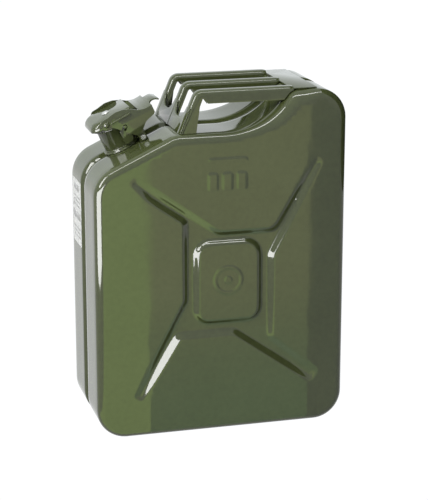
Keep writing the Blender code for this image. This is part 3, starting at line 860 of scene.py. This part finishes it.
# ---------------------------------------------------------------- label
def label():
    x0 = -LENGTH / 2 - 0.08
    low_y, high_y, low_z, high_z = 13.2, 67.8, 245.2, 334.8
    outline = rounded([(low_y, low_z, 2), (high_y, low_z, 2), (high_y, high_z, 2), (low_y, high_z, 2)], 5)
    film = loft("label_film", [[(x0 - 0.18 * k, y, z) for y, z in outline] for k in (0, 1)], material=PAPER)
    ride(film, "can", "label_sticker")
    # plain bars: height on the can, half width, half height
    bars = [(324.0, 16.0, 4.5), (311.0, 22.0, 1.2), (305.0, 20.0, 1.2), (299.0, 22.0, 1.2),
            (285.0, 23.0, 5.0), (268.0, 21.0, 1.2), (262.0, 18.0, 1.2), (256.0, 21.0, 1.2)]
    middle = (low_y + high_y) / 2
    for k, (z, half, tall) in enumerate(bars):
        left, right, low, high = middle - half, middle + half, z - tall, z + tall
        shape = rounded([(left, low, 0.6), (right, low, 0.6), (right, high, 0.6), (left, high, 0.6)], 3)
        rings = [[(x0 - 0.2 - 0.06 * s, y, h) for y, h in shape] for s in (0, 1)]
        bar = loft("label_bar_%d" % k, rings, material=INK)
        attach(bar, "can")


# ---------------------------------------------------------------- carried-over CAD nodes
def refinish():
    finish = {"hinge_pin": STEEL, "breather_tube": STEEL, "cap_rivet": STEEL, "cap_gasket": RUBBER,
              "cam_stud_front": PAINT_SMALL, "cam_stud_rear": PAINT_SMALL}
    for name, material in finish.items():
        obj = bpy.data.objects[name]
        for slot in obj.material_slots:
            slot.material = material


# ---------------------------------------------------------------- studio
def emission(name, colour):
    mat = bpy.data.materials.new(name)
    mat.use_nodes = True
    tree = mat.node_tree
    tree.nodes.clear()
    glow = tree.nodes.new("ShaderNodeEmission")
    glow.inputs["Color"].default_value = (*colour, 1.0)
    out = tree.nodes.new("ShaderNodeOutputMaterial")
    tree.links.new(glow.outputs["Emission"], out.inputs["Surface"])
    return mat


def card(name, corners, colour):
    """A studio sheet that is only seen in reflections."""
    bm = bmesh.new()
    bm.faces.new([bm.verts.new(Vector(p) * MM) for p in corners])
    obj = link(name, bm, emission(name, colour), smooth=False)
    obj.visible_camera = False
    obj.visible_diffuse = False
    obj.visible_shadow = False
    return obj


def floor_card(name, left, right, near, far, colour):
    """Sheet on the floor in front of the can; left and right are (start x, spread for each mm away)."""
    front = -DEPTH / 2
    spots = [(left, near), (right, near), (right, far), (left, far)]
    return card(name, [(x + spread * away, front - away, 2.0) for (x, spread), away in spots], colour)


def area_light(name, place_m, target_m, size, power, colour=(1, 1, 1)):
    data = bpy.data.lights.new(name, "AREA")
    data.shape = "RECTANGLE"
    data.size, data.size_y = size
    data.energy = power
    data.color = colour
    obj = bpy.data.objects.new(name, data)
    bpy.context.scene.collection.objects.link(obj)
    obj.location = place_m
    obj.rotation_euler = (Vector(target_m) - Vector(place_m)).to_track_quat("-Z", "Y").to_euler()
    obj.visible_camera = False
    obj.visible_glossy = False
    return obj


def plane(name, half, z, material):
    bm = bmesh.new()
    corners = [(-half, -half, z), (half, -half, z), (half, half, z), (-half, half, z)]
    bm.faces.new([bm.verts.new(p) for p in corners])
    obj = link(name, bm, material, smooth=False)
    return obj


LEFT_BAND, RIGHT_BAND = (-100.6, 0.2321), (122.0, 0.3328)   # where the face's reflected bands meet


def studio():
    scene = bpy.context.scene
    world = bpy.data.worlds.new("studio")
    world.use_nodes = True
    back = world.node_tree.nodes["Background"]
    back.inputs["Color"].default_value = (0.94, 0.98, 1.0, 1.0)
    back.inputs["Strength"].default_value = 1.1
    world.cycles_visibility.diffuse = False
    scene.world = world
    scene.view_settings.view_transform = "Standard"

    # one floor is seen, by the camera and in reflections; the other only passes soft light back up
    seen = plane("floor", 14.0, -0.0005, emission("floor_white", (1.02, 1.03, 1.04)))
    seen.visible_diffuse = False
    seen.visible_shadow = False
    n = Nodes("floor_grey")
    n.join(n.ramp(n.noise(3.0), [(0.3, (0.42, 0.42, 0.42)), (0.7, (0.46, 0.46, 0.46))]),
           n.shader.inputs["Base Color"])
    bounce = plane("floor_bounce", 14.0, -0.002, n.mat)
    bounce.visible_camera = False
    bounce.visible_glossy = False

    area_light("key", (-1.35, -0.85, 1.35), (0, 0, 0.22), (0.9, 0.9), 30.0, (1.0, 0.99, 0.96))
    area_light("fill", (0.8, -3.0, 1.3), (0, 0, 0.22), (2.5, 2.0), 16.0)
    area_light("top", (-0.2, 0.3, 3.0), (0, 0, 0.3), (3.0, 3.0), 60.0, (0.95, 0.98, 1.0))
    area_light("back", (0.5, 2.6, 1.4), (0, 0, 0.25), (2.5, 2.0), 22.0)

    near, far, part = (-290, -767), (-786, -244), (-620, -419)
    bright, dark = (17.0, 17.0, 17.0), (0.04, 0.045, 0.04)
    card("softbox_low", [(*near, 45), (*far, 45), (*far, 400), (*near, 400)], bright)
    card("softbox_tall", [(*part, 500), (*far, 500), (*far, 1000), (*part, 1000)], bright)
    card("dark_side", [(550, -600, 230), (550, 600, 230), (550, 600, 1500), (550, -600, 1500)], dark)
    card("overhead_strip", [(-900, -640, 1500), (900, -640, 1500), (900, -480, 1500), (-900, -480, 1500)],
         (16.0, 16.0, 16.0))
    floor_card("band_left", (-260.0, 0.12), LEFT_BAND, 0.0, 2400.0, (2.0, 2.6, 1.2))
    # the middle band darkens to green towards the can, in steps too small to see
    close, distant, steps, depth = (1.0, 1.36, 0.96), (1.6, 1.67, 1.13), 12, 700.0
    for k in range(steps):
        colour = [a + (b - a) * fade(k, 0, steps) for a, b in zip(close, distant)]
        start, end = depth * k / steps, depth * (k + 1) / steps
        floor_card("band_middle_%d" % k, LEFT_BAND, RIGHT_BAND, start, end, colour)
    floor_card("band_middle", LEFT_BAND, RIGHT_BAND, depth, 2400.0, distant)
    floor_card("band_right", RIGHT_BAND, (420.0, 0.55), 0.0, 2400.0, (0.73, 0.76, 0.82))


def camera():
    data = bpy.data.cameras.new("camera")
    data.lens = CAM_LENS
    data.sensor_width = 36.0
    data.clip_end = 100.0
    obj = bpy.data.objects.new("camera", data)
    bpy.context.scene.collection.objects.link(obj)
    azimuth, pitch = math.radians(CAM_AZIMUTH), math.radians(CAM_PITCH)
    level = math.cos(pitch)
    back = Vector((math.sin(azimuth) * level, -math.cos(azimuth) * level, math.sin(pitch)))
    obj.location = CAM_PLACE
    obj.rotation_euler = back.to_track_quat("Z", "Y").to_euler()
    bpy.context.scene.camera = obj


camera()
studio()
body()
handle()
neck()
lugs()
bracket()
yoke()
dome()
lever()
rivet_heads()
label()
refinish()
